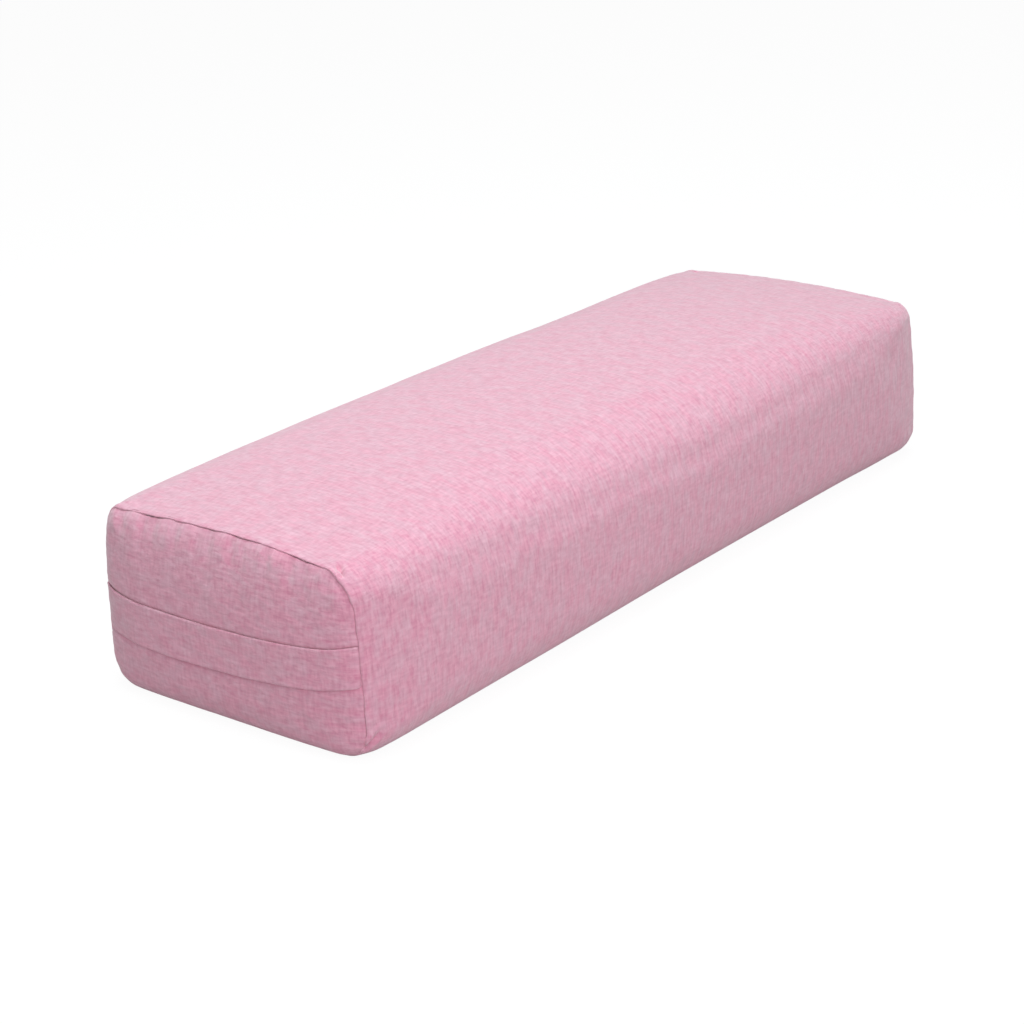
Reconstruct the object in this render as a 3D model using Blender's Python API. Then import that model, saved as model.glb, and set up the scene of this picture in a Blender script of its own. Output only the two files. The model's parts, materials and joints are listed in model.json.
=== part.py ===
"""A rectangular yoga bolster: a zipped fabric cover with a carry strap, over a pad of foam and wadding.

Units are metres. +Z is up and the base rests on z = 0. +Y runs along the bolster, from the end with the
strap at -Y to the plain end at +Y, and the zip is low on the long side at -X. The origin is the middle of
the base. Soft layers are nested: each is the same rounded form, set deeper under the cover's outside.
"""

import math

import bmesh
import bpy
from mathutils import Matrix

# Outer form, seam to seam
BODY_LENGTH = 0.720
BODY_WIDTH = 0.250
BODY_HEIGHT = 0.1405  # at the long top edges, halfway along
TOP_CROWN = 0.007  # how far the middle of the top stands above its edges
SIDE_CROWN = 0.0032  # how far each long side bows outwards
SIDE_LEAN = 0.0078  # how much further out each side is at the base than at the top
LEAN_MIDDLE = 0.5  # the share of the height at which the lean moves nothing
LENGTH_DROP = 0.0053  # how far the top falls from halfway along to the ends
TOP_RADIUS = 0.0145
BOTTOM_RADIUS = 0.023
LEAST_RADIUS = 0.004

# Ends, drawn in by the seams round the end panels
END_ROUNDING = 0.033  # the length over which an end is drawn in
END_DRAW_IN = 0.011
END_TOP_DROP = 0.0033
END_BASE_LIFT = 0.002
END_RADIUS_GAIN = 0.009
END_BULGE = 0.010  # how far the middle of an end panel stands out of its seam

# Layers, from the outside in
COVER_THICKNESS = 0.0015
LINER_THICKNESS = 0.0008
LAYER_GAP = 0.0005  # between soft layers
GAP = 0.0003  # between neighbouring parts that touch

# Foam block, three slabs glued together. The depths are from the outer form's sides, ends, base and top
FOAM_SIDE_DEPTH = 0.020
FOAM_END_DEPTH = 0.020
FOAM_BASE_DEPTH = 0.014
FOAM_TOP_DEPTH = 0.0145
BOTTOM_SLAB = 0.028
TOP_SLAB = 0.026
FOAM_RADIUS = 0.005
GLUE_LINE = 0.0003

# Carry strap across the front end panel
STRAP_WIDTH = 0.034
STRAP_THICKNESS = 0.0016
STRAP_HEIGHT = 0.060  # of its centre line above the base, at its middle
STRAP_RISE = 0.012  # how much higher its right-hand end is sewn than its left-hand one
STRAP_GRIP = 0.080  # the length of the middle link, which the hand takes
STRAP_END_INSET = 0.0005  # from the panel's side edge to the strap's end

# Zip, closed, with its slider at the rear end
ZIP_HEIGHT = 0.035  # of its centre line above the base
ZIP_END_DISTANCE = 0.075  # from each end seam to the slot
ZIP_SLOT_WIDTH = 0.015
TAPE_THICKNESS = 0.0005
COIL_SPACE = 0.0016  # between the two coils and between the two tapes
COIL_WIDTH = 0.0024
COIL_THICKNESS = 0.0017
COIL_END = 0.004  # from the slot's end to the coil's end
STOP_LENGTH = 0.003

# Slider and pull tab
SLIDER_LENGTH = 0.0115
SLIDER_WALL = 0.0007
SLIDER_CLEARANCE = 0.0004
OUTER_PLATE = 0.0010
INNER_PLATE = 0.0006
WEDGE_LENGTH = 0.004
BRIDGE_LENGTH = 0.009
BRIDGE_WIDTH = 0.002
BRIDGE_BAR = 0.001
BRIDGE_SPACE = 0.0022  # the height under the bridge
TAB_LENGTH = 0.028
TAB_WIDTH = 0.0064
TAB_THICKNESS = 0.0012
TAB_HOLE_RADIUS = 0.0011
PIN_BAR = 0.0012  # the tab's end bar, which turns under the bridge

# Mesh counts
CORNER_STEPS = 4
TOP_STEPS = 6
SIDE_STEPS = 4
END_STEPS = 5
LENGTH_STEPS = 4
PANEL_SCALES = (1.0, 0.82, 0.5, 0.15)  # the end panels' rings, as shares of the rim
LINK_STEPS = 6

# Places that follow from the sizes above
SEAM = BODY_LENGTH / 2
HALF_WIDTH = BODY_WIDTH / 2
UNDER_COVER = COVER_THICKNESS + LAYER_GAP  # depth of the liner, and of the cover panels' edges
UNDER_LINER = UNDER_COVER + LINER_THICKNESS + LAYER_GAP
FOAM_LENGTH = BODY_LENGTH - 2 * FOAM_END_DEPTH
FOAM_WIDTH = BODY_WIDTH - 2 * FOAM_SIDE_DEPTH
FOAM_TOP = BODY_HEIGHT - FOAM_TOP_DEPTH
CORE_SLAB = FOAM_TOP - FOAM_BASE_DEPTH - BOTTOM_SLAB - TOP_SLAB
PANEL_LOW = END_BASE_LIFT
PANEL_HIGH = BODY_HEIGHT - LENGTH_DROP - END_TOP_DROP + TOP_CROWN
PANEL_MIDDLE = (PANEL_LOW + PANEL_HIGH) / 2
SLOT_END = SEAM - ZIP_END_DISTANCE
COIL_LIMIT = SLOT_END - COIL_END
SLIDER_REST = COIL_LIMIT - STOP_LENGTH - 2 * GAP - SLIDER_LENGTH / 2

PINK = (0.68, 0.36, 0.48)
COLOURS = {
    "cover": (PINK, 0.9, 0.0),
    "strap": ((0.70, 0.38, 0.50), 0.9, 0.0),
    "tape": ((0.62, 0.30, 0.42), 0.85, 0.0),
    "coil": ((0.58, 0.26, 0.38), 0.5, 0.0),
    "zip_metal": ((0.60, 0.30, 0.40), 0.35, 0.4),
    "liner": ((0.80, 0.80, 0.78), 0.9, 0.0),
    "wadding": ((0.88, 0.88, 0.87), 1.0, 0.0),
    "firm_foam": ((0.75, 0.76, 0.78), 0.9, 0.0),
    "soft_foam": ((0.85, 0.80, 0.55), 0.95, 0.0),
}


def clear_scene():
    """Removes everything that a new Blender file starts with."""
    for item in list(bpy.data.objects):
        bpy.data.objects.remove(item, do_unlink=True)


def material(name, kind):
    """A material of its own for one part, with the colour, roughness and metallic value of its kind."""
    colour, roughness, metallic = COLOURS[kind]
    made = bpy.data.materials.new(name)
    made.use_nodes = True
    shader = made.node_tree.nodes["Principled BSDF"]
    shader.inputs["Base Color"].default_value = (*colour, 1.0)
    shader.inputs["Roughness"].default_value = roughness
    shader.inputs["Metallic"].default_value = metallic
    made.diffuse_color = (*colour, 1.0)
    return made


def make_object(name, bm, kind, origin=(0.0, 0.0, 0.0), smooth=False):
    """Turns a bmesh drawn round the given origin into a named object that stands there."""
    bmesh.ops.recalc_face_normals(bm, faces=bm.faces)
    mesh = bpy.data.meshes.new(name)
    bm.to_mesh(mesh)
    bm.free()
    if smooth:
        mesh.shade_smooth()
        mesh.set_sharp_from_angle(angle=math.radians(40))
    made = bpy.data.objects.new(name, mesh)
    bpy.context.scene.collection.objects.link(made)
    made.location = origin
    if kind:
        mesh.materials.append(material(name, kind))
    return made


def boolean(target, tool, operation):
    """Cuts the tool from the target or joins it on, and leaves the tool as a hidden guide."""
    modifier = target.modifiers.new(operation.lower(), "BOOLEAN")
    modifier.operation = operation
    modifier.object = tool
    modifier.solver = "EXACT"
    tool.hide_render = True
    tool.display_type = "WIRE"


def loft(rings, closed=False):
    """Faces between rings of points that hold the same count, capped at both ends or closed on themselves."""
    bm = bmesh.new()
    loops = [[bm.verts.new(point) for point in ring] for ring in rings]
    following = loops[1:] + loops[:1] if closed else loops[1:]
    for first, second in zip(loops, following):
        count = len(first)
        for i in range(count):
            j = (i + 1) % count
            bm.faces.new((first[i], first[j], second[j], second[i]))
    if not closed:
        caps = [bm.faces.new(loops[0]), bm.faces.new(loops[-1])]
        if len(rings[0]) > 8:
            bmesh.ops.poke(bm, faces=caps)
    return bm


def box(low, high):
    """A bmesh box between two corners."""
    bm = bmesh.new()
    size = [b - a for a, b in zip(low, high)]
    middle = [(a + b) / 2 for a, b in zip(low, high)]
    bmesh.ops.create_cube(bm, size=1.0, matrix=Matrix.LocRotScale(middle, None, size))
    return bm


def arc(centre, radius, start, steps):
    """Points of a quarter turn, anticlockwise from the start angle in degrees, both ends included."""
    angles = [math.radians(start + 90 * i / steps) for i in range(steps + 1)]
    return [(centre[0] + radius * math.cos(a), centre[1] + radius * math.sin(a)) for a in angles]


def between(first, last, steps):
    """The points inside a straight run, without its two ends."""
    shares = [i / steps for i in range(1, steps)]
    return [tuple(a + (b - a) * t for a, b in zip(first, last)) for t in shares]


def outline(half, low, high, top_radius, bottom_radius):
    """A rounded rectangle in X and Z, anticlockwise from the lower right corner."""
    corners = [
        arc((half - bottom_radius, low + bottom_radius), bottom_radius, -90, CORNER_STEPS),
        arc((half - top_radius, high - top_radius), top_radius, 0, CORNER_STEPS),
        arc((top_radius - half, high - top_radius), top_radius, 90, CORNER_STEPS),
        arc((bottom_radius - half, low + bottom_radius), bottom_radius, 180, CORNER_STEPS),
    ]
    points = []
    steps = (SIDE_STEPS, TOP_STEPS, SIDE_STEPS, TOP_STEPS)
    for corner, following, count in zip(corners, corners[1:] + corners[:1], steps):
        points += corner + between(corner[-1], following[0], count)
    return points


def crowned(x, z):
    """Where a point of the plain box section comes to lie on the stuffed bolster."""
    rise = z / BODY_HEIGHT
    across = x / HALF_WIDTH
    out = 4 * SIDE_CROWN * rise * (1 - rise) + SIDE_LEAN * (LEAN_MIDDLE - rise)
    return x + across * out, z + TOP_CROWN * (1 - across**2) * rise**2


def section(y, inset):
    """The bolster's outline at length y, the inset deep under the cover's outside."""
    drawn = max(0.0, (abs(y) - SEAM + END_ROUNDING) / END_ROUNDING) ** 2
    half = HALF_WIDTH - END_DRAW_IN * drawn - inset
    low = END_BASE_LIFT * drawn + inset
    high = BODY_HEIGHT - LENGTH_DROP * (y / SEAM) ** 4 - END_TOP_DROP * drawn - inset
    top_radius = max(TOP_RADIUS + END_RADIUS_GAIN * drawn - inset, LEAST_RADIUS)
    bottom_radius = max(BOTTOM_RADIUS - inset, LEAST_RADIUS)
    points = outline(half, low, high, top_radius, bottom_radius)
    return [crowned(x, z) for x, z in points]


def foam_outline(margin):
    """The foam block's outline, the margin outside it."""
    radius = max(FOAM_RADIUS + margin, LEAST_RADIUS)
    half = FOAM_WIDTH / 2 + margin
    return outline(half, FOAM_BASE_DEPTH - margin, FOAM_TOP + margin, radius, radius)


def stations(half_length):
    """Lengths along Y for a sleeve's rings, closer together where the ends are drawn in."""
    start = SEAM - END_ROUNDING
    near = [start + (half_length - start) * i / END_STEPS for i in range(END_STEPS + 1)]
    middle = [start * (2 * i / LENGTH_STEPS - 1) for i in range(1, LENGTH_STEPS)]
    return [-y for y in reversed(near)] + middle + near


def ring(points, y):
    """An outline in X and Z, placed at length y."""
    return [(x, y, z) for x, z in points]


def panel_half_width(z, inset):
    """Half the width of an end at its seam, at height z, the inset under the cover's outside."""
    return crowned(HALF_WIDTH - END_DRAW_IN - inset, z)[0]


def dome(x, z):
    """How far an end panel stands out beyond its seam at x, z."""
    across = min(1.0, abs(x) / panel_half_width(PANEL_MIDDLE, 0.0))
    upwards = min(1.0, abs(z - PANEL_MIDDLE) / (PANEL_HIGH - PANEL_MIDDLE))
    return END_BULGE * (1 - across**2) * (1 - upwards**2)


def sleeve(name, kind, depth, inner):
    """A soft layer round the pad, with its outside at the depth. Inner gives its inner outline at length y."""
    lengths = stations(SEAM - depth)
    outside = [ring(section(y, depth), y) for y in lengths]
    inside = [ring(inner(y), y) for y in reversed(lengths)]
    return make_object(name, loft(outside + inside, closed=True), kind, smooth=True)


def end_panel(name, kind, end, depth, rim, inner_y, inner_domed):
    """A domed panel in a sleeve's mouth. End is -1 or 1, and rim gives its outline at length y."""
    outer_y = SEAM - depth

    def face(y, domed):
        rings = []
        for scale in PANEL_SCALES:
            points = [(x * scale, PANEL_MIDDLE + (z - PANEL_MIDDLE) * scale) for x, z in rim(y)]
            raised = domed and scale < 1
            rings.append([(x, end * (y + raised * dome(x, z)), z) for x, z in points])
        return rings

    rings = face(inner_y, inner_domed)[::-1] + face(outer_y, True)
    return make_object(name, loft(rings), kind, smooth=True)


def cover():
    """The wrap with its zip slot, and the two end panels sewn into its mouths."""
    wrap = sleeve("cover_wrap", "cover", 0.0, lambda y: section(y, COVER_THICKNESS))
    reach = 4 * COVER_THICKNESS
    slot = box(
        (zip_face() - reach, -SLOT_END, ZIP_HEIGHT - ZIP_SLOT_WIDTH / 2),
        (zip_face() + reach, SLOT_END, ZIP_HEIGHT + ZIP_SLOT_WIDTH / 2),
    )
    boolean(wrap, make_object("zip_slot_cutter", slot, None), "DIFFERENCE")

    def rim(y):
        return section(y, UNDER_COVER)

    for name, end in (("cover_end_front", -1), ("cover_end_rear", 1)):
        end_panel(name, "cover", end, 0.0, rim, SEAM - COVER_THICKNESS, True)


def liner():
    """The inner bag: a wrap and two end panels, one gap inside the cover."""
    inner = UNDER_COVER + LINER_THICKNESS
    sleeve("liner_wrap", "liner", UNDER_COVER, lambda y: section(y, inner))

    def rim(y):
        return section(y, inner + LAYER_GAP)

    for name, end in (("liner_end_front", -1), ("liner_end_rear", 1)):
        end_panel(name, "liner", end, UNDER_COVER, rim, SEAM - inner, True)


def wadding():
    """The wadding round the foam block and the wadding pad at each of the block's ends."""
    sleeve("wadding_wrap", "wadding", UNDER_LINER, lambda y: foam_outline(LAYER_GAP))
    for name, end in (("wadding_end_front", -1), ("wadding_end_rear", 1)):
        inner_y = FOAM_LENGTH / 2 + LAYER_GAP
        end_panel(name, "wadding", end, UNDER_LINER, lambda y: foam_outline(0.0), inner_y, False)


def foam():
    """The three foam slabs, with their long edges rounded."""
    slabs = (
        ("foam_layer_bottom", "soft_foam", BOTTOM_SLAB),
        ("foam_core", "firm_foam", CORE_SLAB),
        ("foam_layer_top", "soft_foam", TOP_SLAB),
    )
    low = FOAM_BASE_DEPTH
    for name, kind, height in slabs:
        corner = (FOAM_WIDTH / 2, FOAM_LENGTH / 2, height / 2 - GLUE_LINE / 2)
        bm = box([-c for c in corner], corner)
        slab = make_object(name, bm, kind, (0.0, 0.0, low + height / 2))
        bevel = slab.modifiers.new("rounded_edges", "BEVEL")
        bevel.width = FOAM_RADIUS
        bevel.segments = 2
        low += height


def strap_back(x):
    """Y of the strap's inner face at x, one gap off the domed front panel."""
    return -(SEAM + dome(x, PANEL_MIDDLE) + LAYER_GAP)


def strap_end():
    """X of the strap's right-hand end, just inside the panel's side seam."""
    return panel_half_width(STRAP_HEIGHT, UNDER_COVER) - STRAP_END_INSET


def strap_link(name, start, end, axis_x):
    """A stretch of the strap from x = start to x = end, with its origin at the strap's back at axis_x."""
    origin = (axis_x, strap_back(axis_x), STRAP_HEIGHT)
    rings = []
    for i in range(LINK_STEPS + 1):
        x = start + (end - start) * i / LINK_STEPS
        back = strap_back(x) - origin[1]
        front = back - STRAP_THICKNESS
        middle = STRAP_RISE * x / (2 * strap_end())
        low = middle - STRAP_WIDTH / 2
        high = middle + STRAP_WIDTH / 2
        corners = ((back, low), (front, low), (front, high), (back, high))
        rings.append([(x - axis_x, y, z) for y, z in corners])
    return make_object(name, loft(rings), "strap", origin)


def strap():
    """The carry strap in three links: two that swing at the side seams and the grip between them."""
    end = strap_end()
    inner = STRAP_GRIP / 2
    strap_link("strap_left", -end, -inner - GAP, -end)
    strap_link("strap_grip", -inner, inner, 0.0)
    strap_link("strap_right", inner + GAP, end, end)


def zip_face():
    """X of the cover's outside at the zip's height, on the long side at -X."""
    return crowned(-HALF_WIDTH, ZIP_HEIGHT)[0]


def zip_bar(name, kind, out, across, along, side):
    """A bar of the zip. Out is measured from the cover's face, and across from the zip's centre line."""
    face = zip_face()
    heights = sorted((ZIP_HEIGHT + side * across[0], ZIP_HEIGHT + side * across[1]))
    low = (face - out[1], along[0], heights[0])
    high = (face - out[0], along[1], heights[1])
    middle = [(a + b) / 2 for a, b in zip(low, high)]
    bm = box([a - m for a, m in zip(low, middle)], [b - m for b, m in zip(high, middle)])
    return make_object(name, bm, kind, middle)


def zip_chain():
    """The tapes, coils and stops, which stay with the cover."""
    half_space = COIL_SPACE / 2
    tape = (half_space, ZIP_SLOT_WIDTH / 2 - GAP)
    coil = (half_space, half_space + COIL_WIDTH)
    on_tape = (GAP, GAP + COIL_THICKNESS)
    stop_start = COIL_LIMIT - STOP_LENGTH
    coil_run = (-stop_start + GAP, stop_start - GAP)
    for side, place in ((1, "upper"), (-1, "lower")):
        tape_run = (-SLOT_END + GAP, SLOT_END - GAP)
        zip_bar("zip_tape_" + place, "tape", (-TAPE_THICKNESS, 0.0), tape, tape_run, side)
        zip_bar("zip_coil_" + place, "coil", on_tape, coil, coil_run, side)
        zip_bar("zip_top_stop_" + place, "zip_metal", on_tape, coil, (stop_start, COIL_LIMIT), side)
    whole = (-coil[1], coil[1])
    zip_bar("zip_bottom_stop", "zip_metal", on_tape, whole, (-COIL_LIMIT, -stop_start), 1)


def slider_box(name, out, half_across, half_along, kind=None, middle_y=0.0):
    """A box of the slider, drawn round the slider's own origin on the cover's face."""
    bm = box(
        (-out[1], middle_y - half_along, -half_across),
        (-out[0], middle_y + half_along, half_across),
    )
    return make_object(name, bm, kind, (zip_face(), SLIDER_REST, ZIP_HEIGHT))


def slider():
    """The slider: an outer plate with two side walls, an inner plate, the wedge between, and the bridge."""
    wall_out = GAP + COIL_THICKNESS + SLIDER_CLEARANCE
    plate_out = wall_out + OUTER_PLATE
    half_across = COIL_SPACE / 2 + COIL_WIDTH + SLIDER_CLEARANCE + SLIDER_WALL
    half_along = SLIDER_LENGTH / 2
    inner_top = TAPE_THICKNESS + GAP
    made = slider_box("zip_slider", (GAP, plate_out), half_across, half_along, "zip_metal")
    channel = slider_box("slider_channel", (-1.0, wall_out), half_across - SLIDER_WALL, 2 * half_along)
    boolean(made, channel, "DIFFERENCE")
    wedge_half = COIL_SPACE / 2 - GAP
    wedge_y = half_along - WEDGE_LENGTH / 2
    wedge_run = (-inner_top - INNER_PLATE / 2, wall_out + OUTER_PLATE / 2)
    wedge = slider_box("slider_wedge", wedge_run, wedge_half, WEDGE_LENGTH / 2, middle_y=wedge_y)
    boolean(made, wedge, "UNION")
    inner_run = (-inner_top - INNER_PLATE, -inner_top)
    inner = slider_box("slider_inner_plate", inner_run, half_across, half_along)
    boolean(made, inner, "UNION")
    bridge_out = plate_out + BRIDGE_SPACE + BRIDGE_BAR
    bridge_run = (plate_out - OUTER_PLATE / 2, bridge_out)
    bridge = slider_box("slider_bridge", bridge_run, BRIDGE_WIDTH / 2, BRIDGE_LENGTH / 2)
    boolean(made, bridge, "UNION")
    eye_run = (plate_out, plate_out + BRIDGE_SPACE)
    eye = slider_box("slider_bridge_eye", eye_run, BRIDGE_WIDTH, BRIDGE_LENGTH / 2 - BRIDGE_BAR)
    boolean(made, eye, "DIFFERENCE")
    return plate_out


def pull_tab(plate_out):
    """The pull tab, lying flat over the closed zip, with its end bar under the slider's bridge."""
    origin = (zip_face() - plate_out - BRIDGE_SPACE / 2, SLIDER_REST, ZIP_HEIGHT)
    half = TAB_WIDTH / 2
    far = TAB_LENGTH - half
    end = [(far + half * math.sin(a), half * math.cos(a)) for a in half_turn(8)]
    points = [(-PIN_BAR / 2, half)] + end + [(-PIN_BAR / 2, -half)]
    faces = (-TAB_THICKNESS / 2, TAB_THICKNESS / 2)
    rings = [[(x, -along, across) for along, across in points] for x in faces]
    tab = make_object("zip_pull_tab", loft(rings), "zip_metal", origin)
    eye_half = BRIDGE_WIDTH / 2 + GAP
    corner = math.hypot(BRIDGE_LENGTH / 2, BRIDGE_SPACE / 2 + BRIDGE_BAR)
    eye_end = corner + 2 * GAP
    cutter = box((-TAB_THICKNESS, -eye_end, -eye_half), (TAB_THICKNESS, -PIN_BAR / 2, eye_half))
    boolean(tab, make_object("tab_eye_cutter", cutter, None, origin), "DIFFERENCE")
    hole = bmesh.new()
    turn = Matrix.Translation((0.0, -far, 0.0)) @ Matrix.Rotation(math.radians(90), 4, "Y")
    bmesh.ops.create_cone(
        hole,
        cap_ends=True,
        segments=12,
        radius1=TAB_HOLE_RADIUS,
        radius2=TAB_HOLE_RADIUS,
        depth=4 * TAB_THICKNESS,
        matrix=turn,
    )
    boolean(tab, make_object("tab_hole_cutter", hole, None, origin), "DIFFERENCE")


def half_turn(steps):
    """Angles from 0 to 180 degrees, in radians."""
    return [math.pi * i / steps for i in range(steps + 1)]


def build():
    clear_scene()
    cover()
    liner()
    wadding()
    foam()
    strap()
    zip_chain()
    plate_out = slider()
    pull_tab(plate_out)


build()
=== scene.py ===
# %% [markdown]
# # Yoga bolster
# A rectangular bolster in a pink linen-look cover: one panel wrapped round the pad, a panel sewn
# into each end, a flat carry strap across the near end, and a zip low on the far long side. The
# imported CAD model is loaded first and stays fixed. Everything is made round it, in metres, in the
# same frame: +Z is up, and +Y runs along the bolster, away from the strap.

# %% Load the frame
import json
import math

import bmesh
import bpy
import numpy as np
from mathutils import Matrix, Vector
from mathutils.bvhtree import BVHTree

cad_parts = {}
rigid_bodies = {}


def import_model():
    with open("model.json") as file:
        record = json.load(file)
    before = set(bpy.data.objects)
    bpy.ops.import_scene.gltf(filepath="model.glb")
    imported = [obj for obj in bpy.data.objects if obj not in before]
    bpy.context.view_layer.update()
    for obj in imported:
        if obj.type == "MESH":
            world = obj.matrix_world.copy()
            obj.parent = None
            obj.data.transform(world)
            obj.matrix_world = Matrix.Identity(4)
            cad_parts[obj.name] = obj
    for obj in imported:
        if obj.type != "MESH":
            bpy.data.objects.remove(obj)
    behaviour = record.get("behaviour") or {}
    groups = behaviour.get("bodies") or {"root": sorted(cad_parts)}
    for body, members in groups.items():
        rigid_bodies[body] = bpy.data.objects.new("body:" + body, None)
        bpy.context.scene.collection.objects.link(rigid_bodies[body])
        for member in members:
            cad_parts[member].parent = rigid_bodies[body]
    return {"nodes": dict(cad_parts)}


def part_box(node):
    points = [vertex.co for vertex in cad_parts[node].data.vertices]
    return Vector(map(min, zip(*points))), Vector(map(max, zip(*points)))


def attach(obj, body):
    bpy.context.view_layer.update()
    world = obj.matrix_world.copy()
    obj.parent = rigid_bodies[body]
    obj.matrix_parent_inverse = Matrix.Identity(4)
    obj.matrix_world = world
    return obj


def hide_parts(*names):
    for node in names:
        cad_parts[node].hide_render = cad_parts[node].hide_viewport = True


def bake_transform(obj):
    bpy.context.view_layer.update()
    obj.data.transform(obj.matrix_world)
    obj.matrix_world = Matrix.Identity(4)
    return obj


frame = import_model()
scene = bpy.context.scene
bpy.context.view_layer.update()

# %% [markdown]
# ## Camera
# The photograph is taken with a long lens from the front right, a little above. Its place comes
# from fitting the bolster's outline and end seam to the picture, with the camera's slight tilt.

# %% Camera
CAMERA_PLACE = (1.0779790, -1.3874397, 0.7088535)
CAMERA_RIGHT = Vector((0.7872198, 0.6153783, -0.0399323))
CAMERA_UP = Vector((-0.1905947, 0.3043790, 0.9332883))
FOCAL_PIXELS = 2380
FRAME_PIXELS = 1024

camera_data = bpy.data.cameras.new("camera")
camera_data.sensor_width = 36.0
camera_data.lens = FOCAL_PIXELS / FRAME_PIXELS * camera_data.sensor_width
camera = bpy.data.objects.new("camera", camera_data)
scene.collection.objects.link(camera)
camera_back = CAMERA_RIGHT.cross(CAMERA_UP)
turn = Matrix((CAMERA_RIGHT, CAMERA_UP, camera_back)).transposed()
camera.matrix_world = Matrix.Translation(CAMERA_PLACE) @ turn.to_4x4()
scene.camera = camera
print("lens", round(camera_data.lens, 1), "mm")

# %% [markdown]
# ## Helpers
# Each piece is modelled with Blender's own operators and modifiers. An operator acts on whatever
# is selected, so these helpers select one object first, and a modifier is applied as soon as it is
# set up. Points are moved in bulk as arrays of numbers.


# %% Helpers
def pick(obj):
    """Selects one object alone and makes it the active one."""
    for other in bpy.context.view_layer.objects:
        other.select_set(False)
    obj.select_set(True)
    bpy.context.view_layer.objects.active = obj


def start(name, obj=None):
    """Names an object, or else the one that an operator has just added, and returns it."""
    obj = obj or bpy.context.object
    obj.name = name
    obj.data.name = name
    return obj


def duplicate(obj, name):
    """A copy of the object, with a mesh of its own."""
    made = obj.copy()
    made.data = obj.data.copy()
    scene.collection.objects.link(made)
    return start(name, made)


def join(objs):
    """Joins the objects into the first of them."""
    pick(objs[0])
    for obj in objs:
        obj.select_set(True)
    bpy.ops.object.join()


def read_points(obj):
    """The mesh's points as an array with one row each."""
    flat = np.empty(len(obj.data.vertices) * 3, np.float64)
    obj.data.vertices.foreach_get("co", flat)
    return flat.reshape(-1, 3)


def write_points(obj, points):
    """Moves the mesh's points to the rows of an array."""
    obj.data.vertices.foreach_set("co", np.ascontiguousarray(points, np.float32).ravel())
    obj.data.update()


def modify(obj, name, kind, **settings):
    """Adds a modifier with its settings and applies it."""
    modifier = obj.modifiers.new(name, kind)
    for key, value in settings.items():
        setattr(modifier, key, value)
    pick(obj)
    bpy.ops.object.modifier_apply(modifier=name)


def edit(obj, operator, faces=None, **settings):
    """Runs an Edit Mode operator on the whole mesh, or only on the chosen faces."""
    pick(obj)
    if faces is not None:
        for part in (obj.data.vertices, obj.data.edges):
            part.foreach_set("select", np.zeros(len(part), bool))
        obj.data.polygons.foreach_set("select", faces)
    bpy.ops.object.mode_set(mode="EDIT")
    if faces is None:
        bpy.ops.mesh.select_all(action="SELECT")
    else:
        bpy.ops.mesh.select_mode(type="FACE")
    operator(**settings)
    bpy.ops.object.mode_set(mode="OBJECT")


def face_out(obj):
    """Turns all faces outwards."""
    edit(obj, bpy.ops.mesh.normals_make_consistent, inside=False)


def triangles(obj):
    """How many triangles the mesh has."""
    return sum(len(face.vertices) - 2 for face in obj.data.polygons)


# %% [markdown]
# ## The stuffed form
# A bolster's section is a rounded rectangle whose top crowns and whose sides bow out and lean.
# Towards each end the seam draws it in, and no two corners are alike. These sizes start from the
# CAD model's own, so that the cloth lies on its solids, and are fitted closer to the photograph.
# Nothing holds the side without the zip, so it swells more.

# %% Sizes of the form
SEAM = 0.360  # from the middle to each end seam
HALF_WIDTH = 0.125
BODY_HEIGHT = 0.1405
TOP_CROWN = 0.007
SIDE_CROWN = 0.0032
SIDE_LEAN = 0.0078
LENGTH_DROP = 0.0053  # how far the top falls from halfway along to the ends
TOP_RADIUS = 0.0145
BOTTOM_RADIUS = 0.023
END_ROUNDING = 0.033  # the length over which an end is drawn in
END_DRAW_IN = 0.009
END_TOP_DROP = 0.0033
FAR_SHARE = 0.75  # the far end is drawn in less than the near one
NEAR_RADIUS_GAINS = (-0.005, 0.009, 0.004)  # near end: top left, top right, base left
FAR_RADIUS_GAINS = (-0.006, -0.002, -0.007)

# The side without the zip, most of all halfway along
LOOSE_BASE_GAIN = 0.003  # added to the radius of its base edge
SHOULDER_GAIN = 0.018  # added to its top edge, which the filling rounds into one soft shoulder
NEAR_SHOULDER = 0.5  # the share of that on the near half
SHOULDER_SWELL = 0.0040  # how far the side bows out more, under its top edge
SWELL_PEAK = 6.75  # brings the peak of rise**2 * (1 - rise) to 1
FAR_BASE_TUCK = 0.0024  # how far its base edge is drawn in along the far half
FAR_HALF = ((-0.15, 0.0, 0.26, SEAM), (0.0, 1.0, 1.0, 0.2))  # places along, and its share there

SLACK_PLACE, SLACK_REACH, SLACK_DEPTH = 0.170, 0.070, 0.0022  # a dip in the edge above the zip
NEAR_RISE = 0.0028  # how much higher the near seam is sewn left of the middle
NEAR_RISE_FROM, NEAR_RISE_RUN = 0.085, 0.050
PINCH_PLACE, PINCH_REACH = (-0.112, 0.131), 0.012  # the near top left corner
PINCH_SHIFT = (0.0045, 0.0024)
BASE_TUCK = 0.0015  # how far the end seams run back under the base
TUCK_RUN, TUCK_FADE = 0.045, 0.006  # along the bolster and up it
ZIP_HEIGHT = 0.035
SLOT_HALF = 0.0075
SLOT_END = 0.285

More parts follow.
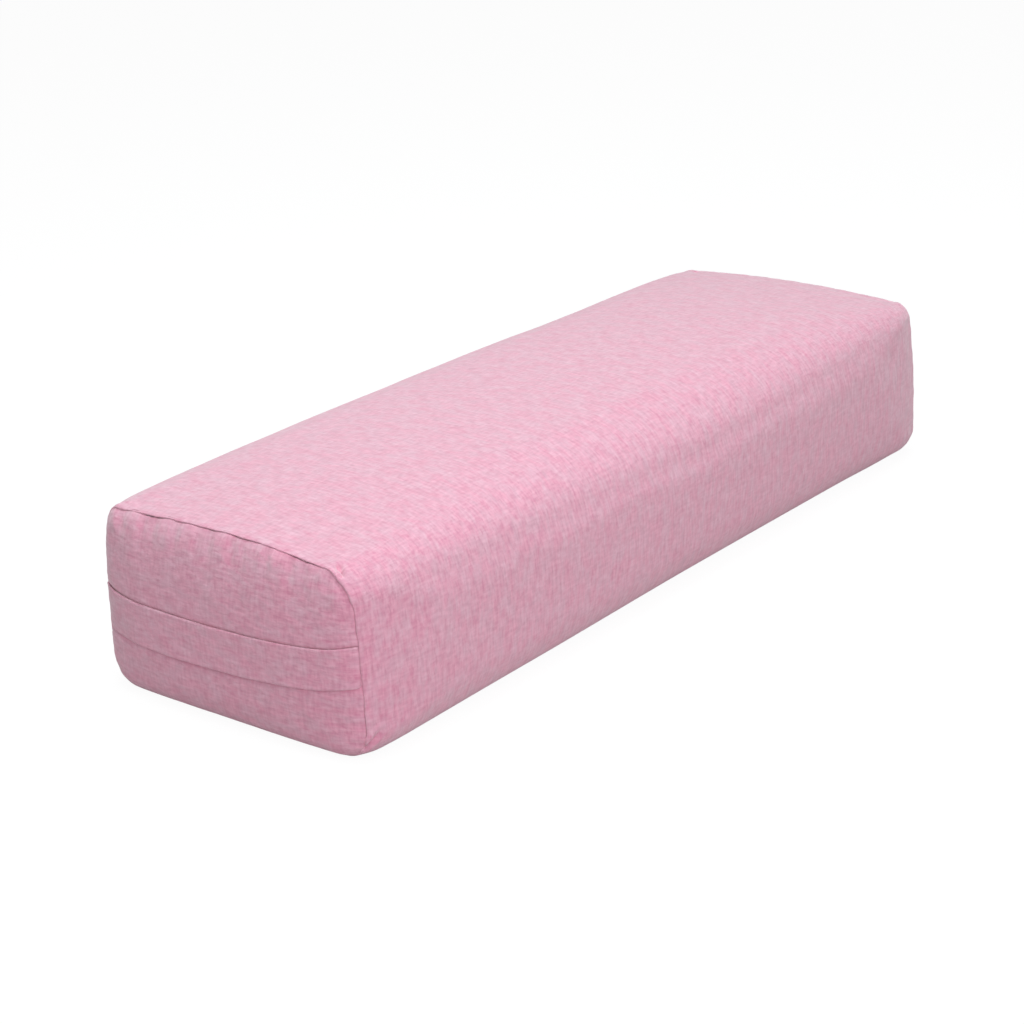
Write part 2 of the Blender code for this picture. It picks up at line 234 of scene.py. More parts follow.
# %% Columns and rows of the cloth
CORNER_COLUMNS = 14
TOP_COLUMNS = 34
SIDE_COLUMNS = 18
COLUMNS = 4 * CORNER_COLUMNS + 2 * TOP_COLUMNS + 2 * SIDE_COLUMNS
FINE_RUN = 0.040  # beside each end seam the rows lie closer
near_rows = SEAM - FINE_RUN * np.linspace(0, 1, 12) ** 1.5
bend_rows = np.linspace(SEAM - FINE_RUN, SLOT_END, 5)[1:]
half_rows = np.concatenate([near_rows, bend_rows, np.linspace(SLOT_END, 0.0, 20)[1:]])
ROWS = np.concatenate([-half_rows, half_rows[-2::-1]])
print(COLUMNS, "columns round and", len(ROWS), "rows along")


# %% The section at any length
def run(first, last, count):
    """Count points from first up to, and without, last."""
    shares = np.arange(count)[:, None] / count
    return np.array(first) + (np.array(last) - np.array(first)) * shares


def quarter(centre, radius, degrees):
    """Points of a quarter turn from an angle, anticlockwise, without its last one."""
    angles = np.radians(degrees + 90 * np.arange(CORNER_COLUMNS) / CORNER_COLUMNS)
    return np.stack([centre[0] + radius * np.cos(angles), centre[1] + radius * np.sin(angles)], 1)


def zip_side(half, high, low):
    """Points down the side with the zip, a column on each edge of its slot, without the last."""
    levels = (high, ZIP_HEIGHT + SLOT_HALF, ZIP_HEIGHT - SLOT_HALF, low)
    counts = (SIDE_COLUMNS - 4, 3, 1)
    spans = zip(levels, levels[1:], counts)
    return np.concatenate([run((-half, a), (-half, b), count) for a, b, count in spans])


def section(y):
    """The outline at length y, anticlockwise from the middle of the lower right corner."""
    near = y < 0
    drawn = max(0.0, (abs(y) - SEAM + END_ROUNDING) / END_ROUNDING) ** 2
    loose = 1 - (y / SEAM) ** 2
    half = HALF_WIDTH - END_DRAW_IN * drawn * (1.0 if near else FAR_SHARE)
    high = BODY_HEIGHT - LENGTH_DROP * (y / SEAM) ** 4 - END_TOP_DROP * drawn
    gains = NEAR_RADIUS_GAINS if near else FAR_RADIUS_GAINS
    left = TOP_RADIUS + gains[0] * drawn
    shoulder = SHOULDER_GAIN * loose * (NEAR_SHOULDER if near else 1.0)
    right = TOP_RADIUS + gains[1] * (1.0 if near else drawn) + shoulder
    base = BOTTOM_RADIUS + gains[2] * drawn
    loose_base = BOTTOM_RADIUS + LOOSE_BASE_GAIN * loose
    parts = [
        quarter((half - loose_base, loose_base), loose_base, -90),
        run((half, loose_base), (half, high - right), SIDE_COLUMNS),
        quarter((half - right, high - right), right, 0),
        run((half - right, high), (left - half, high), TOP_COLUMNS),
        quarter((left - half, high - left), left, 90),
        zip_side(half, high - left, base),
        quarter((base - half, base), base, 180),
        run((base - half, 0.0), (half - loose_base, 0.0), TOP_COLUMNS),
    ]
    points = np.roll(np.concatenate(parts), -CORNER_COLUMNS // 2, axis=0)
    x, z = points.T
    rise = z / BODY_HEIGHT
    across = x / HALF_WIDTH
    out = 4 * SIDE_CROWN * rise * (1 - rise) + SIDE_LEAN * (0.5 - rise)
    out += SWELL_PEAK * SHOULDER_SWELL * loose * rise**2 * (1 - rise) * (x > 0)
    out -= FAR_BASE_TUCK * np.interp(y, *FAR_HALF) * (1 - rise) ** 3 * (x > 0)
    up = TOP_CROWN * (1 - across**2) * rise**2
    slack = SLACK_DEPTH * math.exp(-(((y - SLACK_PLACE) / SLACK_REACH) ** 2))
    up -= slack * rise**2 * np.clip(-across, 0, 1)
    if near:
        up += NEAR_RISE * drawn * rise**4 * np.clip((NEAR_RISE_FROM - x) / NEAR_RISE_RUN, 0, 1)
    pinch = np.exp(-((points - PINCH_PLACE) ** 2).sum(1) / PINCH_REACH**2) * drawn * near
    return np.stack([x + across * out, z + up], 1) + pinch[:, None] * PINCH_SHIFT


def tuck(points):
    """Draws the ends back where they meet the base, so that the panels round the lower edge."""
    y = points[:, 1]
    near = np.clip((np.abs(y) - SEAM + TUCK_RUN) / TUCK_RUN, 0, 1) ** 2
    points[:, 1] = y - np.sign(y) * BASE_TUCK * np.exp(-points[:, 2] / TUCK_FADE) * near


mid_section = section(0.0)
steps = np.linalg.norm(np.roll(mid_section, -1, 0) - mid_section, axis=1)
ROUND = np.concatenate([[0.0], np.cumsum(steps)])
print("the wrap's cloth is", round(ROUND[-1], 4), "m round")

# %% [markdown]
# ## The wrap
# The wrap is cut as one flat rectangle and rolled round the pad, so it starts here as a flat grid.
# Its UV map is kept in metres of cloth, and the weave follows it round the corners.


# %% The wrap, cut flat and rolled
def grid(name, across, along):
    """A flat grid of that many cells, its points, and the column and row of each."""
    bpy.ops.mesh.primitive_grid_add(x_subdivisions=across, y_subdivisions=along, size=1.0)
    made = start(name)
    flat = read_points(made)
    column, row = np.rint((flat[:, :2] + 0.5) * (across, along)).astype(int).T
    return made, flat, column, row


def mark(obj, name, chosen):
    """Puts the chosen points in a group, which stays with them."""
    group = obj.vertex_groups.new(name=name)
    group.add([int(k) for k in np.flatnonzero(chosen)], 1.0, "REPLACE")


def lay_cloth(obj, places):
    """Writes the cloth's own UV map, in metres, from one place per point."""
    owners = np.empty(len(obj.data.loops), int)
    obj.data.loops.foreach_get("vertex_index", owners)
    obj.data.uv_layers[0].name = "cloth"
    obj.data.uv_layers[0].data.foreach_set("uv", places[owners].astype(np.float32).ravel())


body, _, column, row = grid("body", COLUMNS, len(ROWS) - 1)
outlines = np.array([section(y) for y in ROWS])
rolled = outlines[row, column % COLUMNS]
write_points(body, np.stack([rolled[:, 0], ROWS[row], rolled[:, 1]], 1))
lay_cloth(body, np.stack([ROUND[column], ROWS[row]], 1))
mark(body, "rim", (row == 0) | (row == len(ROWS) - 1))
body.data.attributes.new("panel", "INT", "FACE")
print("wrap:", len(body.data.polygons), "faces")

# %% [markdown]
# ## The end panels
# Each end panel is a rectangle with rounded corners, sewn to the wrap all round, and domed by the
# filling. Its grid has as many edges as the wrap's rim, so the two meet point for point.

# %% The end panels, sewn on
ACROSS = TOP_COLUMNS + CORNER_COLUMNS
UP = SIDE_COLUMNS + CORNER_COLUMNS
END_BULGE = 0.012
# Powers of the dome's fall to each seam: with a high one it hangs over right up to the seam
FALL_LEFT, FALL_BASE, FALL_TOP = 4.5, 12.0, 2.1
FALL_RIGHT = {-1: 3.5, 1: 8.0}  # at the near end and at the far one
SEWN_WITHIN = 1e-5  # points closer than this are sewn together


def fill_between(ring):
    """A grid of points that fills a ring, from its four sides: right, top, left and base."""
    right = ring[: UP + 1]
    top = ring[UP : UP + ACROSS + 1][::-1]
    left = ring[UP + ACROSS : 2 * UP + ACROSS + 1][::-1]
    base = np.concatenate([ring[2 * UP + ACROSS :], ring[:1]])
    s = np.linspace(0, 1, ACROSS + 1)[:, None, None]
    t = np.linspace(0, 1, UP + 1)[None, :, None]
    ruled = (1 - t) * base[:, None] + t * top[:, None] + (1 - s) * left[None] + s * right[None]
    low_corners = (1 - s) * (1 - t) * base[0] + s * (1 - t) * base[-1]
    return ruled - (low_corners + (1 - s) * t * top[0] + s * t * top[-1])


def dome(across, up, end):
    """How far the filling pushes an end panel out, from -1 to 1 across it and up it."""
    side = 1 - np.abs(across) ** np.where(across < 0, FALL_LEFT, FALL_RIGHT[end])
    return END_BULGE * side * (1 - np.abs(up) ** np.where(up < 0, FALL_BASE, FALL_TOP))


def end_panel(name, end):
    """A grid laid over one mouth of the wrap. End is -1 for the strap's end and 1 for the other."""
    panel, flat, i, j = grid(name, ACROSS, UP)
    place = fill_between(section(end * SEAM))[i, j]
    out = SEAM + dome(2 * flat[:, 0], 2 * flat[:, 1], end)
    write_points(panel, np.stack([place[:, 0], end * out, place[:, 1]], 1))
    lay_cloth(panel, place)
    mark(panel, "rim", (i % ACROSS == 0) | (j % UP == 0))
    marks = panel.data.attributes.new("panel", "INT", "FACE")
    marks.data.foreach_set("value", np.full(len(panel.data.polygons), end, np.int32))
    return panel


join([body, end_panel("front", -1), end_panel("rear", 1)])
edit(body, bpy.ops.mesh.remove_doubles, threshold=SEWN_WITHIN)
face_out(body)
stuffed = read_points(body)
tuck(stuffed)
write_points(body, stuffed)
print("sewn body:", len(body.data.vertices), "points")

# %% [markdown]
# ## The filling
# The wadding pushes the cover out, and the cloth bulges where nothing holds it. Blender's Cloth
# does the same: the sewn body is let down to the flat-sided box that it is cut to, and blown up
# again, with the seams, the zip and the base held. Gravity is off, because the filling carries the
# cloth. The foam inside sets a limit: no point ends further from the fitted form than the wadding
# can give. A light smoothing follows.

# %% Blowing the cover up
LET_DOWN_RUN = 0.06  # beside each end seam the form is let down less and less
ON_FLOOR = 0.0006  # lower points lie on the floor
CLOSE = 1e-4
FRAMES = 20


def rim_points(obj):
    """Which points a seam holds."""
    index = obj.vertex_groups["rim"].index
    return np.array([any(g.group == index for g in v.groups) for v in obj.data.vertices])


def let_down(points):
    """The points of the stuffed form, moved back to the flat sides and top of the cut cloth."""
    x, y, z = points.T
    near_end = np.clip((SEAM - np.abs(y)) / LET_DOWN_RUN, 0, 1)
    rise = z / BODY_HEIGHT
    across = x / HALF_WIDTH
    out = 4 * SIDE_CROWN * rise * (1 - rise) * near_end
    up = TOP_CROWN * (1 - across**2) * rise**2 * near_end
    return np.stack([x - across * out, y, z - up], 1)


def fill(obj, pressure, give):
    """Runs the cloth simulation, and keeps each point within give of the stuffed form."""
    fitted = read_points(obj)
    x, y, z = fitted.T
    at_zip = (x < 0) & (np.abs(y) < SLOT_END + CLOSE) & (np.abs(z - ZIP_HEIGHT) < SLOT_HALF + CLOSE)
    held = rim_points(obj) | at_zip | (z < ON_FLOOR)
    mark(obj, "held", held)
    write_points(obj, let_down(fitted))
    cloth = obj.modifiers.new("filling", "CLOTH")
    cloth.settings.use_pressure = True
    cloth.settings.uniform_pressure_force = pressure
    cloth.settings.effector_weights.gravity = 0.0
    cloth.settings.vertex_group_mass = "held"
    cloth.settings.quality = 5
    cloth.point_cache.frame_start = 1
    cloth.point_cache.frame_end = FRAMES
    for frame_number in range(1, FRAMES + 1):
        scene.frame_set(frame_number)
    pick(obj)
    bpy.ops.object.modifier_apply(modifier="filling")
    scene.frame_set(1)
    off = read_points(obj) - fitted
    length = np.linalg.norm(off, axis=1)
    after = fitted + off * np.minimum(1.0, give / np.maximum(length, 1e-9))[:, None]
    after[held] = fitted[held]
    after[:, 2] = np.maximum(after[:, 2], 0.0)
    write_points(obj, after)
    free = {"vertex_group": "held", "invert_vertex_group": True}
    modify(obj, "even_out", "SMOOTH", factor=0.5, iterations=4, **free)
    obj.vertex_groups.remove(obj.vertex_groups["held"])
    print("filled:", round(float(length.mean()) * 1000, 1), "mm off the fitted form at first")


fill(body, pressure=2.0, give=0.0016)
full = read_points(body)
print("stuffed size:", np.round(full.max(0) - full.min(0), 4))

# %% [markdown]
# ## Seams
# Along a seam both cloths turn under and run back inside. So the body is taken apart again into
# wrap and panels, and each open edge gets two or three more rows that curl in. The dark line of
# the seam is the groove between the curls.


# %% Taking the body apart
def split_off(obj, value, name):
    """Makes one panel of the sewn body an object of its own."""
    marks = np.empty(len(obj.data.polygons), np.int32)
    obj.data.attributes["panel"].data.foreach_get("value", marks)
    edit(obj, bpy.ops.mesh.separate, marks == value, type="SELECTED")
    return start(name, [o for o in bpy.context.selected_objects if o != obj][0])


inner_form = duplicate(body, "inner_form")
front_panel = split_off(body, -1, "front_panel")
rear_panel = split_off(body, 1, "rear_panel")
wrap = body
wrap.name = "wrap"
COVER = (wrap, front_panel, rear_panel)
ENDS = ((front_panel, -1), (rear_panel, 1))
for piece in COVER:
    print(piece.name, len(piece.data.polygons), "faces")

# %% Curling the edges under
SEAM_WAVE = {-1: 0.0007, 1: 0.0003}  # how far each end's hand-guided seam strays from its line
WRAP_CURL = ((0.0006, 0.0), (0.0015, 0.0007), (0.0021, 0.0024), (0.0024, 0.0050))
PANEL_CURL = ((0.0015, 0.0002), (0.0017, 0.0016), (0.0020, 0.0034))
DRAW_OVERHUNG = 0.2  # the share of the drawing in where the panel hangs over its seam
DRAW_RIGHT = 0.5  # how much more it is along the right
DRAW_CORNER = 0.8  # and at the near top right corner
CORNER_PLACE, CORNER_REACH = (0.108, 0.126), 0.011


def ripple(along, pitch, seed):
    """An uneven wave, from -1 to 1: three sines whose lengths have no common measure."""
    parts = ((1.0, 0.3), (0.62, 1.7), (1.53, 4.1))
    waves = (np.sin(2 * np.pi * along / (pitch * length) + seed * shift) for length, shift in parts)
    return sum(waves) / 3


def nearest_rim(points, end):
    """For each point: the nearest place on that end's rim, the way in there, and how far it is."""
    rim = section(end * SEAM)
    along = np.roll(rim, -1, 0) - np.roll(rim, 1, 0)
    inward = np.stack([-along[:, 1], along[:, 0]], 1) / np.linalg.norm(along, axis=1)[:, None]
    walked = np.cumsum(np.linalg.norm(along, axis=1)) / 2
    rim = rim + SEAM_WAVE[end] * ripple(walked, 0.030, 2 + end)[:, None] * inward
    gaps = np.linalg.norm(points[:, None, [0, 2]] - rim[None], axis=2)
    nearest = gaps.argmin(1)
    return rim[nearest], inward[nearest], gaps.min(1)


def overhang(inward, least):
    """A share: least at the base and on the left, where the panel hangs over its seam, else 1."""
    return 1 - (1 - least) * (np.maximum(0, inward) ** 2).sum(1)


def curl(obj, end, rows, least=1.0):
    """Turns an end's edge under. Rows are (depth inside the rim, distance back from the end)."""
    points = read_points(obj)
    edge = rim_points(obj) & (points[:, 1] * end > 0)
    seam = points[edge]
    rim, inward, _ = nearest_rim(seam, end)
    places = []
    for depth, back in rows:
        inside = rim + depth * overhang(inward, least)[:, None] * inward
        places.append(np.column_stack([inside[:, 0], seam[:, 1] - end * back, inside[:, 1]]))
    points[edge] = places[0]
    write_points(obj, points)
    mesh = bmesh.new()
    mesh.from_mesh(obj.data)
    mesh.verts.ensure_lookup_table()
    current = {mesh.verts[int(k)]: n for n, k in enumerate(np.flatnonzero(edge))}
    for place in places[1:]:
        rim_edges = [e for e in mesh.edges if e.is_boundary and all(v in current for v in e.verts)]
        made = bmesh.ops.extrude_edge_only(mesh, edges=rim_edges)["geom"]
        following = {}
        for new in (v for v in made if isinstance(v, bmesh.types.BMVert)):
            old = [e.other_vert(new) for e in new.link_edges if e.other_vert(new) in current][0]
            following[new] = current[old]
            new.co = place[current[old]]
        current = following
    mesh.to_mesh(obj.data)
    mesh.free()


def draw_in(obj, end, depth, reach):
    """Draws a panel's points in from the rim, less and less over the reach."""
    points = read_points(obj)
    _, inward, gap = nearest_rim(points, end)
    share = depth * np.exp(-gap / reach) * overhang(inward, DRAW_OVERHUNG)
    share *= 1 + DRAW_RIGHT * np.clip(-inward[:, 0], 0, 1)
    off_corner = np.linalg.norm(points[:, [0, 2]] - CORNER_PLACE, axis=1)
    share *= 1 + DRAW_CORNER * np.exp(-((off_corner / CORNER_REACH) ** 2)) * (end < 0)
    share[rim_points(obj)] = 0.0
    points[:, [0, 2]] += share[:, None] * inward
    write_points(obj, points)


for panel, end in ENDS:
    curl(wrap, end, WRAP_CURL)
    draw_in(panel, end, depth=0.0017, reach=0.007)
    curl(panel, end, PANEL_CURL, least=0.35)
print("wrap", len(wrap.data.vertices), "points after its edges are curled under")

# %% Opening the zip's slot
centres = np.array([face.center for face in wrap.data.polygons])
off_zip = np.abs(centres - (0.0, 0.0, ZIP_HEIGHT))
in_slot = (centres[:, 0] < 0) & (off_zip[:, 1] < SLOT_END) & (off_zip[:, 2] < SLOT_HALF)
edit(wrap, bpy.ops.mesh.delete, in_slot, type="FACE")
print("slot:", int(in_slot.sum()), "faces taken out")


# %% Rounding the cloth
def soften(obj, levels):
    """Subdivides the mesh into a smooth surface."""
    both = {"levels": levels, "render_levels": levels}
    modify(obj, "soft", "SUBSURF", boundary_smooth="PRESERVE_CORNERS", **both)
    obj.data.shade_smooth()


def thicken(obj, thickness, offset=-1.0):
    """Gives the cloth its thickness: inwards from the outside that shows, or with 0 both ways."""
    modify(obj, "thickness", "SOLIDIFY", thickness=thickness, offset=offset)
    obj.data.shade_smooth()


for piece, levels in zip(COVER, (1, 2, 2)):
    soften(piece, levels)
    print(piece.name, len(piece.data.vertices), "points")

# %% [markdown]
# A sewn cover is never smooth beside its seams. The thread draws the cloth up into short soft
# folds, and at the corners it is pinched into creases. Each point moves along its own normal.

# %% Folds and puckers
# Beside a panel's seam: height, distance off it, spread, pitch along it, and seed
TOP_FOLDS = (0.0010, 0.009, 0.010, 0.017, 3)
TOP_SWELLS = (0.0014, 0.0, 0.032, 0.045, 5)
SIDE_FOLDS = (0.0004, 0.004, 0.006, 0.011, 7)
STILL_SEAM = 0.006  # the folds fade out over this last stretch to the seam
NEAR = -SEAM
# Creases at the near corners: first and last place, width, depth, and height of their ridges
CREASES = (
    ((0.0985, NEAR + 0.0075, 0.1340), (0.1030, NEAR + 0.0035, 0.1306), 0.0020, 0.0050, 0.0004),
    ((0.1030, NEAR + 0.0042, 0.1302), (0.1130, NEAR + 0.0045, 0.1170), 0.0020, 0.0014, 0.0006),
    ((0.1170, NEAR + 0.0010, 0.0110), (0.1245, NEAR + 0.0090, 0.0215), 0.0018, 0.0022, 0.0008),
    ((-0.1000, NEAR + 0.0010, 0.1320), (-0.0960, NEAR + 0.0080, 0.1360), 0.0020, 0.0014, 0.0006),
    ((-0.1160, NEAR + 0.0010, 0.0130), (-0.1230, NEAR + 0.0100, 0.0240), 0.0022, 0.0014, 0.0008),
)
FAR_STRENGTH, FAR_WIDTH = 0.3, 1.5  # the far corners have the same ones, weaker and wider
RIDGE_OFF = 2.2  # of a crease's width, from its line to its ridges


def push(obj, distance):
    """Moves each point out along its normal by its own distance."""
    flat = np.empty(len(obj.data.vertices) * 3, np.float64)
    obj.data.vertices.foreach_get("normal", flat)
    points = read_points(obj) + distance[:, None] * flat.reshape(-1, 3)
    points[:, 2] = np.maximum(points[:, 2], 0.0)
    write_points(obj, points)


def fold(kind, gap, along, end):
    """How far one kind of fold lifts each point."""
    height, off, spread, pitch, seed = kind
    return height * np.exp(-(((gap - off) / spread) ** 2)) * ripple(along, pitch, seed + end)


def crease(points, first, last, width, depth, ridge):
    """How far each point moves for a crease: in along its line, out on a soft ridge beside it."""
    way = np.array(last) - np.array(first)
    share = np.clip((points - first) @ way / (way @ way), 0.0, 1.0)
    gap = np.linalg.norm(points - first - share[:, None] * way, axis=1) / width
    return ridge * np.exp(-((gap - RIDGE_OFF) ** 2)) - depth * np.exp(-(gap**2))


for panel, end in ENDS:
    points = read_points(panel)
    x, _, z = points.T
    _, inward, gap = nearest_rim(points, end)
    under_top = np.clip(-inward[:, 1], 0, 1)
    folds = fold(TOP_FOLDS, gap, x, end) + fold(TOP_SWELLS, gap, x, end)
    beside = fold(SIDE_FOLDS, gap, z, end)
    dents = 0.0005 * ripple(x + 0.4 * z, 0.055, 2) * ripple(z, 0.037, 6)
    off_seam = np.clip(gap / STILL_SEAM, 0, 1)
    push(panel, off_seam * (under_top * folds + (1 - under_top) * beside + dents))

points = read_points(wrap)
x, y, z = points.T
around = np.abs(x) - z
beside = np.exp(-(((SEAM - np.abs(y) - 0.005) / 0.006) ** 2)) * (z > 0.004)
moved = 0.0004 * beside * ripple(around + 0.3 * y, 0.019, 2)
moved += 0.0006 * ripple(y, 0.105, 1) * ripple(around, 0.120, 4) * (z > 0.02)
for first, last, width, depth, ridge in CREASES:
    moved += crease(points, first, last, width, depth, ridge)
    turned = points * (-1, -1, 1)
    moved += FAR_STRENGTH * crease(turned, first, last, FAR_WIDTH * width, depth, ridge)
push(wrap, moved)
print("folds: up to", round(float(np.abs(moved).max()) * 1000, 1), "mm")

# %% [markdown]
# The strap is pulled tight over the near panel and sinks a little into it, most of all where it
# rounds the left edge. So the panel is pressed in along the strap before the strap is laid on.

# %% Where the strap lies
# The strap's edges: places across the panel in metres, and heights there in millimetres
TOP_EDGE = (
    (-0.118, -0.087, -0.045, -0.007, 0.030, 0.065, 0.097, 0.118),
    (79.0, 75.6, 74.8, 74.6, 75.8, 77.6, 80.2, 85.0),
)
LOW_EDGE = (
    (-0.118, -0.082, -0.050, -0.012, 0.025, 0.062, 0.094, 0.118),
    (44.5, 42.8, 42.0, 42.6, 44.2, 47.2, 50.5, 55.5),
)
EASING = 120  # rounds of averaging, which take the corners out of those lines
PRESS = 0.0012
LEFT_PRESS = 0.0012  # added where the strap rounds the left edge
LEFT_FROM, LEFT_RUN = -0.078, 0.035
PRESS_EDGES = (0.0040, 0.0015)  # how softly the panel comes up again below the strap and above it


def smooth_edge(edge, x):
    """The height of one of the strap's edges at each x, in metres."""
    fine = np.linspace(-0.130, 0.130, 261)
    height = np.interp(fine, edge[0], edge[1]) / 1000
    for _ in range(EASING):
        height[1:-1] = (height[:-2] + 2 * height[1:-1] + height[2:]) / 4
    return np.interp(x, fine, height)


x, y, z = read_points(front_panel).T
above_low = (z - smooth_edge(LOW_EDGE, x)) / PRESS_EDGES[0]
below_top = (smooth_edge(TOP_EDGE, x) - z) / PRESS_EDGES[1]
under_strap = np.clip(np.minimum(above_low, below_top) / 2 + 0.65, 0, 1)
depth = PRESS + LEFT_PRESS * np.clip((LEFT_FROM - x) / LEFT_RUN, 0, 1)
push(front_panel, -depth * under_strap * (y < -SEAM + 0.0005))
print("pressed in under the strap:", int((under_strap > 0.5).sum()), "points")

# %% Thickening the cloth
COVER_THICKNESS = 0.0015
for piece in COVER:
    thicken(piece, COVER_THICKNESS)
    print(piece.name, triangles(piece), "triangles")


# %% Who rides and who is replaced
def stays(obj, slot_name, *nodes):
    """Hides the nodes that a piece stands in for and keeps the piece with the bolster; slot_name is
    not used.
    """
    if nodes:
        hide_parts(*nodes)
    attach(obj, "bolster")


for piece, node_name in zip(COVER, ("cover_wrap", "cover_end_front", "cover_end_rear")):
    stays(piece, "cover_fabric", node_name)

# %% [markdown]
# ## The carry strap
# The strap is a folded band of the cover's cloth, pulled flat over the domed panel and caught in
# both side seams. It isn't sewn level: its right end is higher and a little narrower. It is laid
# on by looking up the panel's own surface behind each point. It is made whole and then cut in the
# middle into two halves, which stand in for the CAD model's strap links and grip.

# %% The strap
STRAP_THICKNESS = 0.0020
STRAP_END = 0.1170
STRAP_GAP = 0.0003
SINK_FROM = (-0.1140, 0.1120)  # from here out to its ends the strap goes down into the seam
STRAP_SINK = 0.0046
STRAP_COLUMNS = 94
STRAP_ROWS = 12
WRINKLE, WRINKLE_PITCH = 0.0004, 0.0075  # beside the right seam
WRINKLES_FROM, WRINKLES_RUN = 0.090, 0.025
PULL = 0.0008  # how far the low edge is pulled into the panel on the left
PULL_FROM, PULL_RUN, PULL_FADE = -0.040, 0.060, 0.007


def surface_y(tree, x, z):
    """Y of the surface that a line parallel to Y meets first, seen from the strap's end."""
    hit = tree.ray_cast(Vector((x, -0.5, z)), Vector((0.0, 1.0, 0.0)))[0]
    return hit.y if hit else -SEAM


strap, flat, _, _ = grid("strap", STRAP_COLUMNS, STRAP_ROWS)
x = flat[:, 0] * 2 * STRAP_END
low = smooth_edge(LOW_EDGE, x)
high = smooth_edge(TOP_EDGE, x)
z = low + (flat[:, 1] + 0.5) * (high - low)
panel_tree = BVHTree.FromObject(front_panel, bpy.context.evaluated_depsgraph_get())
laid_on = np.clip(x, *SINK_FROM)
back = np.array([surface_y(panel_tree, a, b) for a, b in zip(laid_on, z)])
sunk = (np.abs(x - laid_on) / (STRAP_END - SINK_FROM[1])) ** 2
sewn = np.clip((x - WRINKLES_FROM) / WRINKLES_RUN, 0, 1)
wrinkles = WRINKLE * sewn * ripple(z + 0.05 * x, WRINKLE_PITCH, 3)
pulled = PULL * np.clip((PULL_FROM - x) / PULL_RUN, 0, 1) * np.exp(-(z - low) / PULL_FADE)
y = back - STRAP_THICKNESS / 2 - STRAP_GAP + STRAP_SINK * sunk + pulled - wrinkles
write_points(strap, np.stack([x, y, z], 1))
face_out(strap)
lay_cloth(strap, np.stack([x, z], 1) + (0.31, 0.17))  # cut from another place of the cloth
thicken(strap, STRAP_THICKNESS, offset=0.0)
soften(strap, 1)
print("strap:", triangles(strap), "triangles")


# %% Two halves
def half(obj, name, side):
    """A copy of obj cut off at x = 0, with the cut closed and its edge kept sharp."""
    made = duplicate(obj, name)
    pick(made)
    bpy.ops.object.mode_set(mode="EDIT")
    bpy.ops.mesh.select_all(action="SELECT")
    outer = {"clear_inner": side > 0, "clear_outer": side < 0}
    bpy.ops.mesh.bisect(plane_co=(0, 0, 0), plane_no=(1, 0, 0), use_fill=True, **outer)
    bpy.ops.mesh.mark_sharp()
    bpy.ops.object.mode_set(mode="OBJECT")
    return made


strap_halves = [half(strap, "strap_left_half", -1), half(strap, "strap_right_half", 1)]
bpy.data.objects.remove(strap)
for made, side, link in zip(strap_halves, (-1, 1), ("strap_left", "strap_right")):
    made.data.shade_smooth()
    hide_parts(link, "strap_grip")
    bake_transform(made)
    print(made.name, triangles(made), "triangles")

# %% [markdown]
# ## Inside
# Under the cover lie a plain inner bag, a layer of wadding, and three foam slabs glued together.
# The bag and the wadding are the stuffed body again, each a little smaller, and the wadding is
# hollowed out to take the foam.

# %% Inner bag and wadding
LINER_THICKNESS = 0.0008
LINER_SHARE = (0.972, 0.984, 0.955)
WADDING_SHARE = (0.958, 0.978, 0.935)
HOLLOW_MIDDLE, HOLLOW_SIZE = (0.0, 0.0, 0.0700), (0.2110, 0.6810, 0.1128)


def smaller(name, share):
    """A copy of the whole stuffed body, shrunk about its middle."""
    made = duplicate(inner_form, name)
    middle = np.array([0.0, 0.0, BODY_HEIGHT / 2])
    write_points(made, middle + (read_points(made) - middle) * share)
    return made


def block(name, middle, size):
    """A box of that size."""
    bpy.ops.mesh.primitive_cube_add(size=1.0, location=middle, scale=size)
    made = start(name)
    bpy.ops.object.transform_apply()
    return made


liner = smaller("inner_bag", LINER_SHARE)
thicken(liner, LINER_THICKNESS)
stays(liner, "liner_cloth", "liner_wrap", "liner_end_front", "liner_end_rear")

wadding = smaller("wadding_layer", WADDING_SHARE)
hollow = block("hollow", HOLLOW_MIDDLE, HOLLOW_SIZE)
modify(wadding, "hollow", "BOOLEAN", operation="DIFFERENCE", solver="EXACT", object=hollow)
wadding.data.shade_smooth()
stays(wadding, "wadding", "wadding_wrap", "wadding_end_front", "wadding_end_rear")
for helper in (hollow, inner_form):
    bpy.data.objects.remove(helper)
print("inner bag and wadding:", triangles(liner), "and", triangles(wadding), "triangles")

# %% Foam slabs
FOAM_SIZE = (0.210, 0.680)
SLABS = (  # name, underside and top
    ("foam_layer_bottom", 0.01415, 0.04185),
    ("foam_core", 0.04215, 0.09985),
    ("foam_layer_top", 0.10015, 0.12585),
)
slabs = []
for node_name, low, high in SLABS:
    slab = block(node_name + "_slab", (0.0, 0.0, (low + high) / 2), (*FOAM_SIZE, high - low))
    modify(slab, "cut_edges", "BEVEL", width=0.004, segments=3)
    stays(slab, "firm_foam" if node_name == "foam_core" else "soft_foam", node_name)
    slabs.append(slab)
    print(slab.name, round(high - low, 4), "m thick")

# %% [markdown]
# ## The zip
# A nylon coil zip lies low on the long side that the photograph hides. Its two tapes are sewn under
# the lips of the slot, and a guard strip of the cover's cloth lies behind them and keeps the teeth
# off the pad. Each coil is one nylon filament wound round and sewn to its tape; one turn is
# modelled, and copied.

# %% Zip tapes
ZIP_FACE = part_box("zip_coil_upper")[1].x + 0.0003
TAPE_THICKNESS = 0.0005
